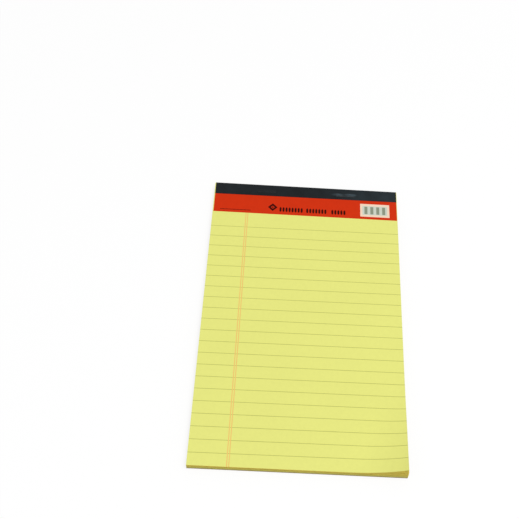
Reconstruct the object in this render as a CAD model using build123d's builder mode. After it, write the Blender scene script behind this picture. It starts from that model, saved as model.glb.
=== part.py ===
from build123d import *
from math import atan2, degrees, hypot, sin
import os

# Legal pad, junior size: ruled sheets stapled to a backing board, with a printed
# header strip and a tape folded over the bound edge. It lies flat, header towards +Y,
# written side up, and the origin is the centre of its underside. Millimetres.

# Pad, over all
pad_width = 127.0
pad_length = 203.2

# Sheets and board
sheet_count = 50
sheet_pitch = 0.088
sheet_edge_round = 0.1
board_thickness = 0.8
board_edge_round = 0.35

# Header strip and tape, both cut to one width and laid a little to the right
strip_width = 126.0
strip_shift = 0.1
header_reach = 24.7
header_thickness = 0.12
tape_thickness = 0.14
tape_front_flap = 9.3
tape_back_flap = 11.0
tape_dent_clearance = 0.1

# Staples, bent from flat wire
staple_spacing = 54.6
staple_setback = 5.4
staple_crown = 12.0
staple_clinch = 4.6
wire_width = 0.7
wire_thickness = 0.45
wire_bend = 0.6
pierce_clearance = 0.03

# Ridge of the tape over each staple's crown
ridge_run = 1.2
ridge_round = 0.25

# Bottom right corner, lifted and rolled about a line that runs across it, in two leaves:
# for each, from the top, its number of sheets and its share of the full lift
leaves = [(5, 1.0), (5, 0.4)]
curl_radius = 65.0
curl_along_bottom = 34.5
curl_along_side = 64.5

# Heights, from the underside up
page_top = board_thickness + sheet_count * sheet_pitch
header_top = page_top + header_thickness
crown_top = header_top + wire_thickness
ridge_height = wire_thickness + tape_thickness
lifted_depth = sum(count for count, share in leaves) * sheet_pitch

# Places along and across the pad
front_edge = -pad_length / 2
right_edge = pad_width / 2
bound_edge = pad_length / 2 - tape_thickness
corner_round = sheet_edge_round + header_thickness
header_front = pad_length / 2 - header_reach
header_back = bound_edge - corner_round
tape_front = pad_length / 2 - tape_front_flap
tape_back = pad_length / 2 - tape_back_flap
staple_y = pad_length / 2 - staple_setback
crown_places = [(side * staple_spacing / 2, staple_y) for side in (-1, 1)]
leg_span = staple_crown - wire_bend
clinch_span = staple_crown - staple_clinch

# The crease of the lifted corner, and the level direction in which it rises
crease_start = Vector(right_edge - curl_along_bottom, front_edge)
crease_end = Vector(right_edge, front_edge + curl_along_side)
crease_length = hypot(curl_along_bottom, curl_along_side)
rise = Vector(curl_along_side, -curl_along_bottom) / crease_length
corner_run = curl_along_bottom * rise.X
roll_margin = 2.0
outline_steps = 6


def rolled(x, y, radius):
    """Where a point of a flat sheet's edge lies in plan once the corner is rolled."""
    flat = Vector(x, y)
    run = (flat - crease_start).dot(rise)
    return flat - rise * (run - radius * sin(run / radius))


def corner_leaf(top, thickness, radius):
    """A leaf of the lifted corner: a slab that leaves a height at the crease, rolled to a
    radius, cut to the outline that the straight edges of its sheets take when they roll."""
    crease_middle = (crease_start + crease_end) / 2 + Vector(0, 0, top)
    roll_degrees = degrees((corner_run + roll_margin) / radius)
    with BuildPart() as leaf:
        with BuildSketch(Plane(crease_middle, x_dir=rise, z_dir=rise.cross(Vector(0, 0, 1)))):
            with BuildLine():
                upper = CenterArc((0, radius), radius, -90, roll_degrees)
                lower = CenterArc((0, radius), radius + thickness, -90, roll_degrees)
                Line(upper @ 0, lower @ 0)
                Line(upper @ 1, lower @ 1)
            make_face()
        extrude(amount=crease_length, both=True)
        with BuildSketch():
            with BuildLine():
                steps = [i / outline_steps for i in range(outline_steps + 1)]
                Spline(*[rolled(right_edge - curl_along_bottom * (1 - t), front_edge, radius) for t in steps])
                Spline(*[rolled(right_edge, front_edge + curl_along_side * t, radius) for t in steps])
                Line(crease_end, crease_start)
            make_face()
        extrude(amount=page_top + radius, mode=Mode.INTERSECT)
    return leaf.part


def leg_slots(height):
    """The four slots that the staple legs pierce, as a sketch at a height."""
    with BuildSketch(Plane.XY.offset(height)) as slots:
        with Locations(*crown_places):
            with GridLocations(leg_span, 0, 2, 1):
                Rectangle(wire_bend + 2 * pierce_clearance, wire_width + 2 * pierce_clearance)
    return slots.sketch


# Block of ruled sheets, its bound edge rounded where the tape is drawn over it
with BuildPart() as sheet_block:
    with BuildSketch(Plane.YZ):
        with BuildLine():
            top_run = Line((front_edge, page_top), (bound_edge - sheet_edge_round, page_top))
            bend = JernArc(top_run @ 1, top_run % 1, sheet_edge_round, -90)
            Polyline(bend @ 1, (bound_edge, board_thickness), (front_edge, board_thickness), top_run @ 0)
        make_face()
    extrude(amount=pad_width / 2, both=True)
    with BuildSketch(Plane.XY.offset(page_top)):
        with BuildLine():
            Polyline(crease_start, (right_edge, front_edge), crease_end, close=True)
        make_face()
    extrude(amount=-lifted_depth, mode=Mode.SUBTRACT)
    leaf_top = page_top
    for count, share in leaves:
        add(corner_leaf(leaf_top, count * sheet_pitch, curl_radius / share))
        leaf_top -= count * sheet_pitch
    extrude(leg_slots(board_thickness), amount=header_top, mode=Mode.SUBTRACT)
sheet_block.part.label = "sheet_block"

# Backing board, dented by the tape's back flap and, above it, by the clinched legs
with BuildPart() as backing_board:
    with BuildSketch(Plane.YZ):
        with BuildLine():
            dent_front = tape_back - tape_dent_clearance
            dent_run = Line((dent_front, tape_thickness), (bound_edge - board_edge_round, tape_thickness))
            bend = JernArc(dent_run @ 1, dent_run % 1, board_edge_round, 90)
            Polyline(
                bend @ 1,
                (bound_edge, board_thickness),
                (front_edge, board_thickness),
                (front_edge, 0),
                (dent_front, 0),
                dent_run @ 0,
            )
        make_face()
    extrude(amount=pad_width / 2, both=True)
    extrude(leg_slots(0), amount=header_top, mode=Mode.SUBTRACT)
    with BuildSketch(Plane.XY.offset(tape_thickness)):
        with Locations(*crown_places):
            with GridLocations(clinch_span, 0, 2, 1):
                Rectangle(staple_clinch + 2 * pierce_clearance, wire_width + 2 * pierce_clearance)
    extrude(amount=wire_thickness, mode=Mode.SUBTRACT)
backing_board.part.label = "backing_board"

# Printed header strip, flat on the top sheet
with BuildPart() as header_strip:
    with BuildSketch(Plane.XY.offset(page_top)):
        with Locations((strip_shift, (header_front + header_back) / 2)):
            Rectangle(strip_width, header_back - header_front)
    extrude(amount=header_thickness)
    extrude(leg_slots(page_top), amount=header_top, mode=Mode.SUBTRACT)
header_strip.part.label = "header_strip"

# Binding tape, folded round the bound edge and humped over the two staple crowns
with BuildPart() as binding_tape:
    with BuildSketch(Plane.YZ.offset(strip_shift)):
        with BuildLine():
            FilletPolyline(
                (tape_front, header_top),
                (bound_edge, header_top),
                (bound_edge, tape_thickness),
                (tape_back, tape_thickness),
                radius=[corner_round, board_edge_round],
            )
            offset(amount=tape_thickness, side=Side.LEFT)
        make_face()
    extrude(amount=strip_width / 2, both=True)
    with BuildSketch(Plane.XY.offset(header_top)):
        with Locations(*crown_places):
            Rectangle(staple_crown + 2 * ridge_run, wire_width + 2 * ridge_run)
    ridge_taper = degrees(atan2(ridge_run - tape_thickness, ridge_height))
    extrude(amount=ridge_height, taper=ridge_taper)
    fillet(binding_tape.faces().sort_by(Axis.Z)[-2:].edges(), ridge_round)
    with BuildSketch(Plane.XY.offset(header_top)):
        with Locations(*crown_places):
            Rectangle(staple_crown + 2 * pierce_clearance, wire_width + 2 * pierce_clearance)
    extrude(amount=wire_thickness, mode=Mode.SUBTRACT)
binding_tape.part.label = "binding_tape"

# Staple: crown on the header strip, legs through the pad, ends clinched inwards
with BuildPart() as staple:
    with BuildSketch(Plane.XZ):
        with BuildLine():
            half_crown = staple_crown / 2
            FilletPolyline(
                (staple_clinch - half_crown, tape_thickness),
                (-half_crown, tape_thickness),
                (-half_crown, crown_top),
                (half_crown, crown_top),
                (half_crown, tape_thickness),
                (half_crown - staple_clinch, tape_thickness),
                radius=wire_bend,
            )
            offset(amount=wire_thickness, side=Side.RIGHT)
        make_face()
    extrude(amount=wire_width / 2, both=True)

with BuildPart() as staples:
    with Locations(*crown_places):
        add(staple.part)
staples.part.label = "staples"

os.makedirs("parts", exist_ok=True)
for piece in (sheet_block, backing_board, header_strip, binding_tape, staples):
    export_step(piece.part, f"parts/{piece.part.label}.step")
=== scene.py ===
import math
import random

import bmesh
import bpy
from mathutils import Matrix, Vector


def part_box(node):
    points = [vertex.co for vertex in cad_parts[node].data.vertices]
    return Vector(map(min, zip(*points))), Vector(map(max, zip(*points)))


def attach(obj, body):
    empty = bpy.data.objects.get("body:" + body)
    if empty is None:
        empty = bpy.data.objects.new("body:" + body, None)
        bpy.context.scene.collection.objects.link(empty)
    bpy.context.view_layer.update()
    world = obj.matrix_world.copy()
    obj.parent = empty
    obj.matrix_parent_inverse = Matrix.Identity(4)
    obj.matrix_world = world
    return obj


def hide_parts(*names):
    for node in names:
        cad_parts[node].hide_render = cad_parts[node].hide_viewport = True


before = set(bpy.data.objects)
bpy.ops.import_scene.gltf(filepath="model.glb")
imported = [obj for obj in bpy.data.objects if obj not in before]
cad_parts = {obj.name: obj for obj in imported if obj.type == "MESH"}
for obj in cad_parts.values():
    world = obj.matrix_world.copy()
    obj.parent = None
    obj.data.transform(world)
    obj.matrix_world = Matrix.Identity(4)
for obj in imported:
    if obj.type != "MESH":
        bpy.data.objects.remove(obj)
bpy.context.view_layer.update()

# Everything is in metres, in the pad's own frame: +X right, +Y to the header, +Z up
MM = 0.001

# Edges that turn by more than this are shaded sharp
SHARP_ANGLE = math.radians(40)

# Places read from the frame
SHEETS_LOW, SHEETS_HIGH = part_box("sheet_block")
HEADER_LOW, HEADER_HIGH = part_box("header_strip")
TAPE_LOW, TAPE_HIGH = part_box("binding_tape")
STAPLES_LOW, STAPLES_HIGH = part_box("staples")
BOARD_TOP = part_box("backing_board")[1].z
CROWN_TOP = STAPLES_HIGH.z
STAPLE_Y = (STAPLES_LOW.y + STAPLES_HIGH.y) / 2
LEFT, RIGHT = SHEETS_LOW.x, SHEETS_HIGH.x
FRONT, BOUND = SHEETS_LOW.y, SHEETS_HIGH.y
PAGE_TOP = HEADER_LOW.z
HEADER_TOP = HEADER_HIGH.z

# Sheets, each a little thinner than their pitch, so that no two touch
SHEET_COUNT = 50
PITCH = (PAGE_TOP - BOARD_TOP) / SHEET_COUNT
SHEET_THICKNESS = 0.92 * PITCH
TRIM_JITTER = 0.12 * MM
TRIM_SEED = 11
BOUND_EDGE_ROUND = 0.1 * MM

# Lifted corner, rolled about a crease across the bottom right corner. The sheets fan out
# there, each with a little less of the top sheet's lift than the one above it.
CURL_RADIUS = 65 * MM
CURL_ALONG_BOTTOM = 34.5 * MM
CURL_ALONG_SIDE = 64.5 * MM
LIFTED_COUNT = 26

# Ends of the crease at the front and at the right, and the level direction in which the
# corner rises from it
CURL_LEFT = RIGHT - CURL_ALONG_BOTTOM
CURL_BACK = FRONT + CURL_ALONG_SIDE
CREASE_LENGTH = math.hypot(CURL_ALONG_BOTTOM, CURL_ALONG_SIDE)
RISE_X, RISE_Y = CURL_ALONG_SIDE / CREASE_LENGTH, -CURL_ALONG_BOTTOM / CREASE_LENGTH

# Outer band of the fanned sheets, painted warmer and more golden than the page: a painted
# glow of the light that bounces between the sheets and shines through them
GLOW_BAND_WIDTH = 1.2 * MM

# Free front edge of the top sheets, standing off in gentle waves: for each wave, its length
# over 2 pi, its phase and its strength
WAVE_HEIGHT = 0.09 * MM
WAVE_REACH = 30 * MM
WAVY_SHEETS = 6
WAVES = ((19 * MM, 0.7, 0.3), (8.3 * MM, 2.1, 0.2))

# Print on the sheets, a quarter of a degree out of square as the press left it. The first
# rule is the one nearest the header.
RULE_PITCH = 7.9375 * MM
FIRST_RULE = 65.21 * MM
RULE_COUNT = 21
RULE_WIDTH = 0.36 * MM
PRINT_SKEW = 0.0049
MARGIN_X = -39.95 * MM
MARGIN_PITCH = 1.25 * MM
MARGIN_WIDTH = 0.6 * MM

# Rows and columns that divide the sheets, closest where the corner rolls
ROWS_BETWEEN_FLAT_RULES, ROWS_BETWEEN_ROLLED_RULES = 1, 3
ROWS_BEHIND_RULES = 3
TOP_FLAT_COLUMNS, TOP_ROLLED_COLUMNS = 7, 23
FAN_FLAT_COLUMNS, FAN_ROLLED_COLUMNS = 9, 13
FAN_ROLLED_ROWS = 19

# Print on the header strip: a dashed line, three groups of beads, a ringed lozenge and a
# panel with four bars. Sides are left, right, low and high.
DASH_COUNT = 22
DASH_START = -58.4 * MM
DASH_STEP = 0.95 * MM
DASH_LENGTH = 0.68 * MM
DASH_LOW, DASH_HIGH = 78.85 * MM, 79.45 * MM
BEAD_GROUPS = ((-17.2 * MM, 8), (1.2 * MM, 7), (18.5 * MM, 5))
BEAD_Y = 81.2 * MM
BEAD_STEP = 2.08 * MM
BEAD_HALF_WIDTH, BEAD_HALF_HEIGHT = 0.68 * MM, 2.15 * MM
BEAD_SHOULDER = 0.55 * BEAD_HALF_HEIGHT
LOZENGE_X, LOZENGE_Y = -22.6 * MM, 82.7 * MM
RING_HALVES = (3.3 * MM, 3.2 * MM)
HOLLOW_HALVES = (1.4 * MM, 1.35 * MM)
CENTRE_HALVES = (0.7 * MM, 0.7 * MM)
PANEL_SIDES = (37.8 * MM, 58.0 * MM, 78.9 * MM, 89.75 * MM)
FIELD_SIDES = (39.3 * MM, 56.5 * MM, 80.5 * MM, 88.0 * MM)
BAR_COUNT = 4
BAR_START = 40.7 * MM
BAR_STEP = 4.1 * MM
BAR_WIDTH = 2.1 * MM
BAR_LOW, BAR_HIGH = 81.1 * MM, 87.4 * MM

# Binding tape, with the outer radii of its fold over the bound edge and of its foot
TAPE_THICKNESS = 0.14 * MM
TAPE_TOP = HEADER_TOP + TAPE_THICKNESS
FRONT_FLAP = 9.3 * MM
FLAP_SKEW = 0.0044
FOLD_ROUND = 0.36 * MM
FOOT_ROUND = 0.49 * MM

# Humps of the tape over the staple crowns: the place of the right one's middle, the halves
# of a hump's flat top, how far each hump runs out around that, and its play over the wire
CROWN_X = 27.3 * MM
HUMP_HALF_LENGTH = 6.1 * MM
HUMP_HALF_WIDTH = 0.45 * MM
LEFT_HUMP_SPREAD = 0.5 * MM
RIGHT_HUMP_SPREAD = 0.9 * MM
HUMP_PLAY = 0.01 * MM

# Ripple pressed into the tape, weaker on the humps, where the tape is stretched: for each
# wave, its length over 2 pi along the tape and across it, and its strength
RIPPLE_DEPTH = 0.03 * MM
RIPPLE_SHARE_ON_HUMPS = 0.3
RIPPLE_SEED = 5
RIPPLES = ((3.1 * MM, 2.3 * MM, 1.0), (7.7 * MM, 4.1 * MM, 1.0), (1.3 * MM, 1.1 * MM, 0.5))

# Rows that divide the tape, from its front flap round to its back one, finest within
# HUMP_REACH of the staples. The flap runs askew beyond FLAP_REACH of them.
FLAP_REACH, HUMP_REACH = 2 * MM, 2.1 * MM
FLAP_ROWS, HUMP_ROWS, TOP_ROWS = 5, 24, 6
FOLD_STEPS, SPINE_ROWS, FOOT_STEPS, BACK_ROWS = 10, 8, 7, 14

# Columns that divide the tape, finest at each hump's ends, between these two distances from
# its middle
HUMP_END_INNER, HUMP_END_OUTER = 5.2 * MM, 8 * MM
HUMP_END_COLUMNS, HUMP_COLUMNS = 13, 16
OUTSIDE_COLUMNS, MIDDLE_COLUMNS = 22, 30

# Painted light on the tape: a painted sheen, paler and paler along its right half, and painted
# glints in two spots on the right staple's crown, each given by its place, its half length and
# its half width. A glint is painted evenly over its core, a share of those halves, and less and
# less outside that.
PAINTED_SHEEN_START, PAINTED_SHEEN_END = 10 * MM, 45 * MM
PAINTED_SHEEN_TONE = 2.2
PAINTED_GLINT_TONE = 5.4
SPOT_CORE = 0.2
PAINTED_GLINT_SPOTS = (
    (22.3 * MM, STAPLE_Y + 0.2 * MM, 5 * MM, 1.5 * MM),
    (30.9 * MM, STAPLE_Y + 0.4 * MM, 5 * MM, 1.6 * MM),
)

# Studio: the floor's tone fades out between two distances from the pad's middle
FLOOR_REACH = 3.0
FLOOR_TONE = 0.22
FLOOR_FADE_START, FLOOR_FADE_END = 0.3, 1.2
WORLD_LIGHT = 0.41
LAMP_PLACE = Vector((0.5, -0.45, 2.3))
LAMP_SIZE = 1.6
LAMP_POWER = 40.5

# Camera, at the photograph's viewpoint, with its lens and sensor in millimetres. The small
# shift is the photograph's own: it shows more to the left of the lens axis.
CAMERA_PLACE = Vector((-19.89, -259.34, 467.69)) * MM
CAMERA_RIGHT = Vector((0.998236, 0.029739, 0.051388))
CAMERA_FORWARD = Vector((0.026941, 0.544385, -0.838403))
CAMERA_LENS, CAMERA_SENSOR = 57.88, 36.0
CAMERA_SHIFT = -0.0712
CAMERA_NEAR = 0.01


def linear(red, green, blue):
    """A screen colour, 0 to 255 a channel, as the linear colour that a shader takes."""

    def channel(value):
        share = value / 255
        return share / 12.92 if share <= 0.04045 else ((share + 0.055) / 1.055) ** 2.4

    return (channel(red), channel(green), channel(blue), 1.0)


def smooth(value):
    """0 below 0 and 1 above 1, with a soft start and end between."""
    value = min(max(value, 0.0), 1.0)
    return value * value * (3 - 2 * value)


def between(low, high, count):
    """count numbers strictly between low and high, evenly spread."""
    return [low + (high - low) * (i + 1) / (count + 1) for i in range(count)]


def step_to(places, stop, count):
    """Adds count places evenly spread between the last one and stop, and then stop itself."""
    places += between(places[-1], stop, count) + [stop]


def rim_of(deep, wide):
    """The outermost points of a grid, as pairs of row and column, once round it."""
    rim = [(0, column) for column in range(wide)]
    rim += [(row, wide - 1) for row in range(1, deep)]
    rim += [(deep - 1, column) for column in range(wide - 2, -1, -1)]
    rim += [(row, 0) for row in range(deep - 2, 0, -1)]
    return rim


# Materials

PAPER = linear(229, 230, 128)
# Painted glow of the light between the fanned sheets, on their outer band
PAINTED_GLOW_PAPER = linear(242, 224, 104)
PAPER_EDGE = linear(220, 195, 89)
RULE_INK = linear(184, 186, 95)
MARGIN_INK = linear(238, 197, 110)
HEADER_RED = linear(207, 48, 9)
HEADER_INK = linear(58, 8, 4)
PANEL_WHITE = linear(244, 215, 190)
PANEL_FIELD = linear(203, 210, 196)
PANEL_BAR = linear(140, 148, 128)
TAPE_BLACK = linear(17, 23, 26)
BOARD_TAN = linear(188, 164, 122)
BOARD_DARK = linear(112, 96, 72)
BOARD_PALE = linear(216, 202, 174)
WIRE_STEEL = linear(190, 190, 188)


class Nodes:
    """A material's node tree, with short calls for the nodes that the materials share."""

    def __init__(self, name):
        self.material = bpy.data.materials.new(name)
        self.material.use_nodes = True
        self.tree = self.material.node_tree
        self.shader = self.tree.nodes["Principled BSDF"]

    def new(self, kind, **settings):
        """A new node of a kind, with its settings made."""
        node = self.tree.nodes.new(kind)
        for key, value in settings.items():
            setattr(node, key, value)
        return node

    def feed(self, socket, value):
        """Links another node's output to a socket, or sets a plain value on it."""
        if isinstance(value, bpy.types.NodeSocket):
            self.tree.links.new(value, socket)
        else:
            socket.default_value = value

    def math(self, operation, *values):
        """The result of one operation on numbers."""
        node = self.new("ShaderNodeMath", operation=operation)
        for socket, value in zip(node.inputs, values):
            self.feed(socket, value)
        return node.outputs[0]

    def spread(self, value, low, high, from_low=0.0, from_high=1.0):
        """value, from from_low to from_high, as a number from low to high."""
        ramp = self.new("ShaderNodeMapRange")
        names = ("Value", "From Min", "From Max", "To Min", "To Max")
        for name, number in zip(names, (value, from_low, from_high, low, high)):
            self.feed(ramp.inputs[name], number)
        return ramp.outputs["Result"]

    def place(self):
        """The place on the pad, in its own frame."""
        return self.new("ShaderNodeTexCoord").outputs["Object"]

    def stretched(self, vector, scale):
        """vector with each axis times its own scale, which draws a pattern out where that
        is small."""
        node = self.new("ShaderNodeMapping")
        self.feed(node.inputs["Vector"], vector)
        self.feed(node.inputs["Scale"], scale)
        return node.outputs["Vector"]

    def noise(self, vector, scale, detail=3.0, roughness=0.55):
        """Cloudy noise between 0 and 1, finer with a larger scale."""
        node = self.new("ShaderNodeTexNoise")
        self.feed(node.inputs["Vector"], vector)
        self.feed(node.inputs["Scale"], scale)
        self.feed(node.inputs["Detail"], detail)
        self.feed(node.inputs["Roughness"], roughness)
        return node.outputs["Fac"]

    def cells(self, vector, scale):
        """Soft round cells, smaller with a larger scale."""
        node = self.new("ShaderNodeTexVoronoi", feature="SMOOTH_F1")
        self.feed(node.inputs["Vector"], vector)
        self.feed(node.inputs["Scale"], scale)
        self.feed(node.inputs["Smoothness"], 0.4)
        return node.outputs["Distance"]

    def mix(self, share, first, second):
        """first at share 0 and second at share 1. In this node, sockets 6, 7 and 2 are the
        two colours and their result."""
        node = self.new("ShaderNodeMix", data_type="RGBA")
        self.feed(node.inputs[0], share)
        self.feed(node.inputs[6], first)
        self.feed(node.inputs[7], second)
        return node.outputs[2]

    def tinted(self, colour, *tones):
        """colour made lighter or darker by numbers near 1."""
        for tone in tones:
            node = self.new("ShaderNodeVectorMath", operation="SCALE")
            self.feed(node.inputs["Vector"], colour[:3] if isinstance(colour, tuple) else colour)
            self.feed(node.inputs["Scale"], tone)
            colour = node.outputs["Vector"]
        return colour

    def bump(self, height, distance, strength):
        """Makes the surface look raised where height is large."""
        node = self.new("ShaderNodeBump")
        self.feed(node.inputs["Height"], height)
        self.feed(node.inputs["Distance"], distance)
        self.feed(node.inputs["Strength"], strength)
        self.feed(self.shader.inputs["Normal"], node.outputs["Normal"])

    def finish(self, colour, roughness, specular, metallic=0.0):
        """Sets the shader's own sockets and gives back the material."""
        self.feed(self.shader.inputs["Base Color"], colour)
        self.feed(self.shader.inputs["Roughness"], roughness)
        self.feed(self.shader.inputs["Specular IOR Level"], specular)
        self.feed(self.shader.inputs["Metallic"], metallic)
        return self.material


def paper_material(name, colour):
    """Writing paper, or a line of ink on it: cloudy formation and short fibres along the sheet."""
    nodes = Nodes(name)
    place = nodes.place()
    cloud = nodes.noise(place, 30.0, detail=2.0)
    formation = nodes.noise(place, 380.0, detail=3.0)
    along = nodes.stretched(place, (1.0, 0.5, 1.0))
    fibre = nodes.noise(along, 2400.0, detail=4.0, roughness=0.7)
    nodes.bump(nodes.math("ADD", fibre, formation), 0.02 * MM, 0.35)
    cloudy = nodes.spread(cloud, 0.98, 1.02)
    formed = nodes.spread(formation, 0.97, 1.03)
    fibrous = nodes.spread(fibre, 0.965, 1.035)
    toned = nodes.tinted(colour, cloudy, formed, fibrous)
    return nodes.finish(toned, nodes.spread(fibre, 0.8, 0.95), 0.25)


def paper_edge_material():
    """Cut edges of the sheets: deeper in tone, each layer a little different, with knife grit."""
    nodes = Nodes("paper_edge")
    place = nodes.place()
    layer = nodes.noise(nodes.stretched(place, (0.02, 0.02, 1.0)), 9000.0, detail=1.0)
    run = nodes.noise(nodes.stretched(place, (1.0, 1.0, 0.2)), 120.0, detail=3.0)
    grit = nodes.noise(place, 5200.0, detail=2.0)
    nodes.bump(grit, 0.02 * MM, 0.5)
    layered = nodes.spread(layer, 0.84, 1.12)
    uneven = nodes.spread(run, 0.94, 1.06)
    gritty = nodes.spread(grit, 0.93, 1.06)
    return nodes.finish(nodes.tinted(PAPER_EDGE, layered, uneven, gritty), 0.9, 0.2)


def print_material(name, colour, roughness, specular=0.1):
    """Offset ink on coated paper: nearly even, with the faint mottle of the press."""
    nodes = Nodes(name)
    place = nodes.place()
    mottle = nodes.noise(place, 240.0, detail=4.0, roughness=0.6)
    grain = nodes.noise(place, 3200.0, detail=2.0)
    nodes.bump(grain, 0.01 * MM, 0.3)
    mottled = nodes.spread(mottle, 0.92, 1.07)
    grained = nodes.spread(grain, 0.96, 1.04)
    toned = nodes.tinted(colour, mottled, grained)
    return nodes.finish(toned, nodes.spread(mottle, roughness - 0.07, roughness + 0.07), specular)


def painted_glint_spot(nodes, place, x, y, half_length, half_width):
    """1 on a spot of the tape's front where a glint is painted, fading to 0 at half_length along it
    and half_width across."""
    scale = (1 / half_length, 1 / half_width, 1 / half_width)
    away = nodes.new("ShaderNodeVectorMath", operation="DISTANCE")
    nodes.feed(away.inputs[0], nodes.stretched(place, scale))
    nodes.feed(away.inputs[1], (x * scale[0], y * scale[1], CROWN_TOP * scale[2]))
    return nodes.spread(away.outputs["Value"], 1.0, 0.0, SPOT_CORE, 1.0)


def tape_material():
    """Black coated binding tape: fine pressed grain, rubbed paler here and there, with a painted
    sheen that grows towards its right end and painted glints in two spots on the crown of the
    right staple."""
    nodes = Nodes("black_tape")
    place = nodes.place()
    grain = nodes.cells(nodes.stretched(place, (1.0, 0.75, 1.0)), 2600.0)
    ripple = nodes.noise(nodes.stretched(place, (0.4, 1.0, 1.0)), 320.0, detail=4.0)
    rubbed = nodes.noise(place, 85.0, detail=6.0, roughness=0.65)
    nodes.bump(nodes.math("ADD", nodes.math("MULTIPLY", grain, 0.5), ripple), 0.05 * MM, 0.55)
    across = nodes.new("ShaderNodeSeparateXYZ")
    nodes.feed(across.inputs[0], place)
    # Painted sheen: the tape paler and paler towards its right end
    painted_sheen = nodes.spread(across.outputs["X"], 1.0, PAINTED_SHEEN_TONE, PAINTED_SHEEN_START, PAINTED_SHEEN_END)
    # Painted glints: two bright spots on the right staple's crown
    spots = [painted_glint_spot(nodes, place, *spot) for spot in PAINTED_GLINT_SPOTS]
    crown = nodes.spread(nodes.math("MAXIMUM", *spots), 1.0, PAINTED_GLINT_TONE)
    colour = nodes.tinted(TAPE_BLACK, nodes.spread(rubbed, 0.7, 1.4, 0.3, 0.7), painted_sheen, crown)
    return nodes.finish(colour, nodes.spread(rubbed, 0.3, 0.48, 0.3, 0.7), 0.12)


def board_material():
    """Greyboard: tan pulp with pale and dark flecks of fibre."""
    nodes = Nodes("greyboard")
    place = nodes.place()
    pulp = nodes.noise(nodes.stretched(place, (1.0, 0.5, 1.0)), 900.0, detail=6.0, roughness=0.7)
    cloud = nodes.noise(place, 45.0, detail=3.0)
    fleck = nodes.noise(nodes.stretched(place, (0.4, 1.0, 1.0)), 1900.0, detail=2.0)
    colour = nodes.tinted(BOARD_TAN, nodes.spread(pulp, 0.82, 1.16), nodes.spread(cloud, 0.95, 1.05))
    colour = nodes.mix(nodes.spread(fleck, 0.55, 0.0, 0.30, 0.36), colour, BOARD_DARK)
    colour = nodes.mix(nodes.spread(fleck, 0.0, 0.5, 0.64, 0.70), colour, BOARD_PALE)
    nodes.bump(pulp, 0.05 * MM, 0.5)
    return nodes.finish(colour, nodes.spread(pulp, 0.86, 0.96), 0.2)


def wire_material():
    """Bright flat staple wire with drawing marks along it."""
    nodes = Nodes("staple_wire")
    drawn = nodes.noise(nodes.stretched(nodes.place(), (0.08, 1.0, 0.3)), 9000.0, detail=2.0)
    nodes.bump(drawn, 0.005 * MM, 0.3)
    colour = nodes.tinted(WIRE_STEEL, nodes.spread(drawn, 0.85, 1.1))
    return nodes.finish(colour, nodes.spread(drawn, 0.25, 0.4), 0.5, 1.0)


# Pieces


def dressed(name, points, faces, slots, materials, replaced):
    """A mesh object of the pad, smooth up to its sharp edges, riding on its one body."""
    mesh = bpy.data.meshes.new(name)
    mesh.from_pydata(points, [], faces)
    mesh.polygons.foreach_set("material_index", slots)
    mesh.polygons.foreach_set("use_smooth", [True] * len(faces))
    mesh.set_sharp_from_angle(angle=SHARP_ANGLE)
    for material in materials:
        mesh.materials.append(material)
    piece = bpy.data.objects.new(name, mesh)
    bpy.context.scene.collection.objects.link(piece)
    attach(piece, "root")
    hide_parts(replaced)


def dress_node(name, material):
    """A node of the frame that keeps its shape, in a material of its own."""
    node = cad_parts[name]
    node.data.materials.clear()
    node.data.materials.append(material)


# Sheets


def curl_place(x, y, height, share):
    """Where a point of a sheet goes when the corner is rolled: x and y are its place on the
    flat sheet, height its place in the flat block."""
    run = (x - CURL_LEFT) * RISE_X + (y - FRONT) * RISE_Y
    if run <= 0 or share <= 0:
        return x, y, height
    radius = (CURL_RADIUS + PAGE_TOP - height) / share
    turn = run / radius
    drawn_in = run - radius * math.sin(turn)
    return x - RISE_X * drawn_in, y - RISE_Y * drawn_in, height + radius * (1 - math.cos(turn))


def front_wave(x, y, index):
    """How far a sheet's free front edge stands off, less with each sheet down."""
    share = max(0.0, 1 - index / WAVY_SHEETS) * smooth(1 - (y - FRONT) / WAVE_REACH)
    wave = 0.5
    for length, phase, strength in WAVES:
        wave += strength * math.sin(x / length + phase)
    return WAVE_HEIGHT * share * wave


def back_edge(index):
    """Where a sheet ends under the tape's rounded fold."""
    depth = min(index * PITCH, BOUND_EDGE_ROUND)
    return BOUND - BOUND_EDGE_ROUND + math.sqrt(BOUND_EDGE_ROUND**2 - (BOUND_EDGE_ROUND - depth) ** 2)


def ruled_rows(front, back):
    """The top sheet's rows from front to back, each as its place at x = 0 and its skew, and
    for each gap between two rows whether it is a printed rule."""
    ys, printed = [front], []
    for number in reversed(range(RULE_COUNT)):
        low = FIRST_RULE - number * RULE_PITCH - RULE_WIDTH / 2
        rolled = low < CURL_BACK + RULE_PITCH
        count = ROWS_BETWEEN_ROLLED_RULES if rolled else ROWS_BETWEEN_FLAT_RULES
        step_to(ys, low, count)
        ys.append(low + RULE_WIDTH)
        printed += [False] * (count + 1) + [True]
    lowest, highest = ys[ROWS_BETWEEN_ROLLED_RULES + 1], ys[-1]
    step_to(ys, back, ROWS_BEHIND_RULES)
    printed += [False] * (ROWS_BEHIND_RULES + 1)

    def skew(y):
        """The print's skew, easing off beyond it to the square front and back edges."""
        if y < lowest:
            return PRINT_SKEW * (y - front) / (lowest - front)
        if y > highest:
            return PRINT_SKEW * (back - y) / (back - FIRST_RULE)
        return PRINT_SKEW

    return [(y, skew(y)) for y in ys], printed


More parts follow.
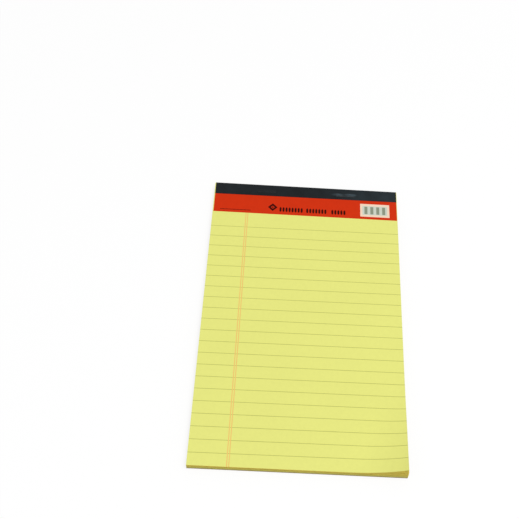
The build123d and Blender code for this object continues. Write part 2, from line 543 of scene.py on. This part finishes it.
def ruled_columns(left, right):
    """The top sheet's columns and, for each gap between two, whether it is a margin line."""
    xs, printed = [left], []
    for middle in (MARGIN_X - MARGIN_PITCH / 2, MARGIN_X + MARGIN_PITCH / 2):
        xs += [middle - MARGIN_WIDTH / 2, middle + MARGIN_WIDTH / 2]
        printed += [False, True]
    for stop, count in ((CURL_LEFT, TOP_FLAT_COLUMNS), (right, TOP_ROLLED_COLUMNS)):
        step_to(xs, stop, count)
        printed += [False] * (count + 1)
    return xs, printed


def plain_rows(index, front, back):
    """The rows of a sheet below the top one, with no print on them: its two edges and, where
    it rolls, its outer band of painted glow and the rows behind that."""
    ys = [front]
    if index < LIFTED_COUNT:
        ys.append(front + GLOW_BAND_WIDTH)
        step_to(ys, CURL_BACK, FAN_ROLLED_ROWS)
    ys.append(back)
    return [(y, 0.0) for y in ys], [False] * (len(ys) - 1)


def plain_columns(index, left, right):
    """The columns of a sheet below the top one, closest between the crease and its outer
    band of painted glow, with no margin line among them."""
    xs = [left]
    if index < LIFTED_COUNT:
        step_to(xs, CURL_LEFT, FAN_FLAT_COLUMNS)
        step_to(xs, right - GLOW_BAND_WIDTH, FAN_ROLLED_COLUMNS)
    xs.append(right)
    return xs, [False] * (len(xs) - 1)


PAPER_SLOT, EDGE_SLOT, RULE_SLOT, MARGIN_SLOT, GLOW_BAND_SLOT = range(5)


class SheetMesh:
    """Collects closed sheets, each two grids of faces joined by a rim of cut edge."""

    def __init__(self):
        self.points, self.faces, self.slots = [], [], []

    def add(self, index, trims):
        """Adds a sheet, counted from the top, cut short by its trims at left, right and front."""
        left, right, front = LEFT + trims[0], RIGHT - trims[1], FRONT + trims[2]
        top = PAGE_TOP - index * PITCH
        if index == 0:
            rows, ruled = ruled_rows(front, back_edge(index))
            xs, lined = ruled_columns(left, right)
        else:
            rows, ruled = plain_rows(index, front, back_edge(index))
            xs, lined = plain_columns(index, left, right)
        share = max(0.0, 1 - index / LIFTED_COUNT)
        base, wide, deep = len(self.points), len(xs), len(rows)
        for height in (top - SHEET_THICKNESS, top):
            for y0, skew in rows:
                for x in xs:
                    y = y0 + skew * x
                    self.points.append(curl_place(x, y, height + front_wave(x, y, index), share))

        def at(level, row, column):
            return base + (level * deep + row) * wide + column

        for row in range(deep - 1):
            for column in range(wide - 1):
                slot = MARGIN_SLOT if lined[column] else RULE_SLOT if ruled[row] else PAPER_SLOT
                # Lifted sheets take the painted glow on their front row and right column
                if 0 < index < LIFTED_COUNT and (row == 0 or column == wide - 2):
                    slot = GLOW_BAND_SLOT
                ring = [(row, column), (row, column + 1), (row + 1, column + 1), (row + 1, column)]
                self.face([at(1, *corner) for corner in ring], slot)
                self.face([at(0, *corner) for corner in reversed(ring)], slot)
        rim = rim_of(deep, wide)
        for here, there in zip(rim, rim[1:] + rim[:1]):
            self.face([at(0, *here), at(0, *there), at(1, *there), at(1, *here)], EDGE_SLOT)

    def face(self, corners, slot):
        """Adds a face by its corners' numbers, in the material of a slot."""
        self.faces.append(corners)
        self.slots.append(slot)


def make_sheets():
    """The 50 sheets: the top one, those that lift with it at the corner, and the flat block."""
    draw = random.Random(TRIM_SEED)
    trims = [[draw.uniform(0, TRIM_JITTER) for _ in range(3)] for _ in range(SHEET_COUNT)]
    materials = (
        paper_material("yellow_paper", PAPER),
        paper_edge_material(),
        paper_material("rule_ink", RULE_INK),
        paper_material("margin_ink", MARGIN_INK),
        paper_material("paper_painted_glow", PAINTED_GLOW_PAPER),
    )
    for name, first, last in (
        ("top_sheet", 0, 1),
        ("lifted_sheets", 1, LIFTED_COUNT),
        ("flat_sheets", LIFTED_COUNT, SHEET_COUNT),
    ):
        mesh = SheetMesh()
        for index in range(first, last):
            mesh.add(index, trims[index])
        dressed(name, mesh.points, mesh.faces, mesh.slots, materials, "sheet_block")


# Header strip


def rectangle(left, right, low, high):
    """The outline of a rectangle, from its lower left corner."""
    return [(left, low), (right, low), (right, high), (left, high)]


def lozenge(half_width, half_height):
    """One of the lozenge's outlines, all about the same middle."""
    left, right = LOZENGE_X - half_width, LOZENGE_X + half_width
    low, high = LOZENGE_Y - half_height, LOZENGE_Y + half_height
    return [(left, LOZENGE_Y), (LOZENGE_X, low), (right, LOZENGE_Y), (LOZENGE_X, high)]


def bead(x):
    """The outline of an upright bead with pointed ends, its left side its right one turned
    by half a turn."""
    point, right = (x, BEAD_Y - BEAD_HALF_HEIGHT), x + BEAD_HALF_WIDTH
    right_side = [point, (right, BEAD_Y - BEAD_SHOULDER), (right, BEAD_Y + BEAD_SHOULDER)]
    return right_side + [(2 * x - a, 2 * BEAD_Y - b) for a, b in right_side]


def dashes():
    """The outlines of the dashed line."""
    starts = [DASH_START + DASH_STEP * i for i in range(DASH_COUNT)]
    return [rectangle(x, x + DASH_LENGTH, DASH_LOW, DASH_HIGH) for x in starts]


def beads():
    """The outlines of the beads, group by group."""
    return [bead(start + BEAD_STEP * i) for start, count in BEAD_GROUPS for i in range(count)]


def bars():
    """The outlines of the panel's bars."""
    starts = [BAR_START + BAR_STEP * i for i in range(BAR_COUNT)]
    return [rectangle(x, x + BAR_WIDTH, BAR_LOW, BAR_HIGH) for x in starts]


def header_mesh():
    """The header strip's points, faces and slots: one flat solid whose top is cut along the
    outlines of its print."""
    mesh = bmesh.new()
    red, ink, white, field, bar = range(5)

    def loop(outline):
        corners = [mesh.verts.new((x, y, HEADER_TOP)) for x, y in outline]
        return [mesh.edges.new(pair) for pair in zip(corners, corners[1:] + corners[:1])]

    def fill(loops, slot):
        edges = [edge for one in loops for edge in one]
        made = bmesh.ops.triangle_fill(mesh, use_beauty=True, edges=edges, normal=(0, 0, 1))
        for item in made["geom"]:
            if isinstance(item, bmesh.types.BMFace):
                item.material_index = slot

    inked = [loop(outline) for outline in dashes() + beads()]
    lozenges = [lozenge(*halves) for halves in (RING_HALVES, HOLLOW_HALVES, CENTRE_HALVES)]
    ring, hollow, centre = [loop(outline) for outline in lozenges]
    panel, inset = loop(rectangle(*PANEL_SIDES)), loop(rectangle(*FIELD_SIDES))
    barred = [loop(outline) for outline in bars()]
    edge_loop = loop(rectangle(HEADER_LOW.x, HEADER_HIGH.x, HEADER_LOW.y, HEADER_HIGH.y))

    fill([edge_loop, ring, panel] + inked, red)
    fill([hollow, centre], red)
    fill([ring, hollow], ink)
    for shape in inked + [centre]:
        fill([shape], ink)
    fill([panel, inset], white)
    fill([inset] + barred, field)
    for shape in barred:
        fill([shape], bar)

    upper = [edge.verts[0] for edge in edge_loop]
    lower = [mesh.verts.new((corner.co.x, corner.co.y, HEADER_LOW.z)) for corner in upper]
    mesh.faces.new(list(reversed(lower)))
    for i in range(4):
        j = (i + 1) % 4
        mesh.faces.new((lower[i], lower[j], upper[j], upper[i]))
    bmesh.ops.recalc_face_normals(mesh, faces=mesh.faces)

    mesh.verts.index_update()
    points = [vertex.co[:] for vertex in mesh.verts]
    faces = [[vertex.index for vertex in face.verts] for face in mesh.faces]
    slots = [face.material_index for face in mesh.faces]
    mesh.free()
    return points, faces, slots


def make_header():
    """The printed strip, red with plain ornament in a dark ink and a pale panel."""
    points, faces, slots = header_mesh()
    materials = (
        print_material("header_red", HEADER_RED, 0.55, 0.08),
        print_material("header_ink", HEADER_INK, 0.5, 0.04),
        print_material("panel_white", PANEL_WHITE, 0.6),
        print_material("panel_field", PANEL_FIELD, 0.6),
        print_material("panel_bar", PANEL_BAR, 0.6),
    )
    dressed("printed_header", points, faces, slots, materials, "header_strip")


# Binding tape


def tape_path():
    """The tape's outer face from the front flap over the fold and round the foot to the back
    flap, as (y, z, outward y, outward z) in steps, finest where the staples push it up."""
    front, back, foot = TAPE_LOW.y, TAPE_HIGH.y, TAPE_LOW.z
    flap_front = back - FRONT_FLAP
    flats = [flap_front] + between(flap_front, STAPLE_Y - FLAP_REACH, FLAP_ROWS)
    flats += between(STAPLE_Y - HUMP_REACH, STAPLE_Y + HUMP_REACH, HUMP_ROWS)
    flats += between(STAPLE_Y + HUMP_REACH, back - FOLD_ROUND, TOP_ROWS)
    path = [(y, TAPE_TOP, 0.0, 1.0) for y in flats]

    def corner(y, z, radius, start, steps):
        for i in range(steps + 1):
            angle = math.radians(start - 90 * i / steps)
            out_y, out_z = math.cos(angle), math.sin(angle)
            path.append((y + radius * out_y, z + radius * out_z, out_y, out_z))

    corner(back - FOLD_ROUND, TAPE_TOP - FOLD_ROUND, FOLD_ROUND, 90, FOLD_STEPS)
    spine = between(TAPE_TOP - FOLD_ROUND, foot + FOOT_ROUND, SPINE_ROWS)
    path.extend((back, z, 1.0, 0.0) for z in spine)
    corner(back - FOOT_ROUND, foot + FOOT_ROUND, FOOT_ROUND, 0, FOOT_STEPS)
    path.extend((y, foot, 0.0, -1.0) for y in between(back - FOOT_ROUND, front, BACK_ROWS))
    path.append((front, foot, 0.0, -1.0))
    return path


def tape_columns():
    """The tape's columns from its left end to its right one, finest at the humps' ends."""
    xs = [TAPE_LOW.x]
    for middle, count in ((-CROWN_X, OUTSIDE_COLUMNS), (CROWN_X, MIDDLE_COLUMNS)):
        step_to(xs, middle - HUMP_END_OUTER, count)
        step_to(xs, middle - HUMP_END_INNER, HUMP_END_COLUMNS)
        step_to(xs, middle + HUMP_END_INNER, HUMP_COLUMNS)
        step_to(xs, middle + HUMP_END_OUTER, HUMP_END_COLUMNS)
    step_to(xs, TAPE_HIGH.x, OUTSIDE_COLUMNS)
    return xs


def crown_hump(x, y):
    """The share, 0 to 1, by which the tape is pushed up over the nearer staple crown."""
    along = max(0.0, abs(abs(x) - CROWN_X) - HUMP_HALF_LENGTH)
    across = max(0.0, abs(y - STAPLE_Y) - HUMP_HALF_WIDTH)
    spread = RIGHT_HUMP_SPREAD if x > 0 else LEFT_HUMP_SPREAD
    return 1 - smooth(math.hypot(along, across) / spread)


def slanted(x, y):
    """y on the front flap, moved so that the flap's free edge runs a little askew."""
    free_edge, still = TAPE_HIGH.y - FRONT_FLAP, STAPLE_Y - FLAP_REACH
    return y + FLAP_SKEW * x * max(0.0, (still - y) / (still - free_edge))


def ripple(x, run, phases):
    """Between 0 and 1: how much the tape's face is pressed in, at a place along the tape and
    a run across it, with two phases to each wave."""
    wave = 0.0
    for (along, across, strength), (first, second) in zip(RIPPLES, phases):
        wave += math.sin(x / along + first) * math.sin(run / across + second) * strength
    return 0.5 + 0.2 * wave


def tape_points(path, xs):
    """The points of the tape's outer face and those of its inner face, column by column."""
    draw = random.Random(RIPPLE_SEED)
    phases = [[draw.uniform(0, 2 * math.pi) for _ in range(2)] for _ in RIPPLES]
    rise = CROWN_TOP - HEADER_TOP + HUMP_PLAY
    outer, inner = [], []
    for x in xs:
        run = 0.0
        for i, (y, z, out_y, out_z) in enumerate(path):
            if i:
                run += math.hypot(y - path[i - 1][0], z - path[i - 1][1])
            on_top = out_z == 1.0
            lift = crown_hump(x, y) * rise if on_top else 0.0
            pressed = RIPPLE_DEPTH * ripple(x, run, phases) * (RIPPLE_SHARE_ON_HUMPS if lift > 0 else 1)
            if on_top:
                y = slanted(x, y)
            inner.append((x, y - out_y * TAPE_THICKNESS, z - out_z * TAPE_THICKNESS + lift))
            outer.append((x, y - out_y * pressed, z - out_z * pressed + lift))
    return outer, inner


def make_tape():
    """The black tape, humped over the two staple crowns, with the slight ripple of a strip
    that was rubbed down by hand."""
    path, xs = tape_path(), tape_columns()
    outer, inner = tape_points(path, xs)
    wide, deep, shift = len(path), len(xs), len(outer)
    faces = []
    for row in range(deep - 1):
        for column in range(wide - 1):
            a = row * wide + column
            b, c, d = a + 1, a + wide + 1, a + wide
            faces += [(a, d, c, b), (a + shift, b + shift, c + shift, d + shift)]
    rim = [row * wide + column for row, column in rim_of(deep, wide)]
    for here, there in zip(rim, rim[1:] + rim[:1]):
        faces.append((here, there, there + shift, here + shift))
    slots = [0] * len(faces)
    dressed("black_tape", outer + inner, faces, slots, [tape_material()], "binding_tape")


# Studio


def seen_rays(tree):
    """1 for the rays that show a thing, straight, mirrored or through glass, and 0 for those
    that only carry its light."""
    rays = tree.nodes.new("ShaderNodeLightPath")
    seen = rays.outputs["Is Camera Ray"]
    for name in ("Is Glossy Ray", "Is Transmission Ray"):
        either = tree.nodes.new("ShaderNodeMath")
        either.operation = "MAXIMUM"
        tree.links.new(seen, either.inputs[0])
        tree.links.new(rays.outputs[name], either.inputs[1])
        seen = either.outputs[0]
    return seen


def floor_material():
    """White that glows softly where it is seen, by as much as it lacks in the tone that
    takes light and shadow."""
    nodes = Nodes("floor_white")
    away = nodes.new("ShaderNodeVectorMath", operation="LENGTH")
    nodes.feed(away.inputs[0], nodes.place())
    lit = nodes.spread(away.outputs["Value"], FLOOR_TONE, 0.0, FLOOR_FADE_START, FLOOR_FADE_END)
    diffuse = nodes.new("ShaderNodeBsdfDiffuse")
    nodes.feed(diffuse.inputs["Color"], lit)
    glow = nodes.new("ShaderNodeEmission")
    seen = seen_rays(nodes.tree)
    nodes.feed(glow.inputs["Strength"], nodes.math("MULTIPLY", seen, nodes.math("SUBTRACT", 1.0, lit)))
    both = nodes.new("ShaderNodeAddShader")
    nodes.feed(both.inputs[0], diffuse.outputs[0])
    nodes.feed(both.inputs[1], glow.outputs[0])
    nodes.feed(nodes.tree.nodes["Material Output"].inputs["Surface"], both.outputs[0])
    nodes.tree.nodes.remove(nodes.shader)
    return nodes.material


def make_floor():
    """A plain white floor that keeps the pad's shadow. Far off, where the lamp fades, its own
    light takes over."""
    mesh = bpy.data.meshes.new("floor")
    sides = rectangle(-FLOOR_REACH, FLOOR_REACH, -FLOOR_REACH, FLOOR_REACH)
    mesh.from_pydata([(x, y, 0) for x, y in sides], [], [(0, 1, 2, 3)])
    mesh.materials.append(floor_material())
    floor = bpy.data.objects.new("floor", mesh)
    bpy.context.scene.collection.objects.link(floor)


def make_world():
    """White where it is seen, at a lower even level where it lights."""
    world = bpy.data.worlds.new("studio")
    bpy.context.scene.world = world
    world.use_nodes = True
    tree = world.node_tree
    seen = seen_rays(tree)
    level = tree.nodes.new("ShaderNodeMapRange")
    level.inputs["To Min"].default_value = WORLD_LIGHT
    level.inputs["To Max"].default_value = 1.0
    tree.links.new(seen, level.inputs["Value"])
    back = tree.nodes["Background"]
    back.inputs["Color"].default_value = (1, 1, 1, 1)
    tree.links.new(level.outputs["Result"], back.inputs["Strength"])


def make_lamp():
    """One large soft lamp high above the pad, to its right and in front, aimed at its middle."""
    light = bpy.data.lights.new("key_lamp", "AREA")
    light.shape = "SQUARE"
    light.size = LAMP_SIZE
    light.energy = LAMP_POWER
    lamp = bpy.data.objects.new("key_lamp", light)
    lamp.location = LAMP_PLACE
    lamp.rotation_euler = (-LAMP_PLACE).to_track_quat("-Z", "Y").to_euler()
    bpy.context.scene.collection.objects.link(lamp)


def make_camera():
    """In front of the pad and above it, looking down at 57 degrees."""
    forward = CAMERA_FORWARD.normalized()
    up = CAMERA_RIGHT.cross(forward).normalized()
    right = forward.cross(up)
    data = bpy.data.cameras.new("camera")
    data.sensor_width = CAMERA_SENSOR
    data.lens = CAMERA_LENS
    data.shift_x = CAMERA_SHIFT
    data.clip_start = CAMERA_NEAR
    camera = bpy.data.objects.new("camera", data)
    turn = Matrix((right, up, -forward)).transposed()
    camera.matrix_world = Matrix.Translation(CAMERA_PLACE) @ turn.to_4x4()
    bpy.context.scene.collection.objects.link(camera)
    bpy.context.scene.camera = camera


bpy.context.scene.view_settings.view_transform = "Standard"
make_camera()
make_world()
make_lamp()
make_floor()
make_sheets()
make_header()
make_tape()
dress_node("backing_board", board_material())
dress_node("staples", wire_material())
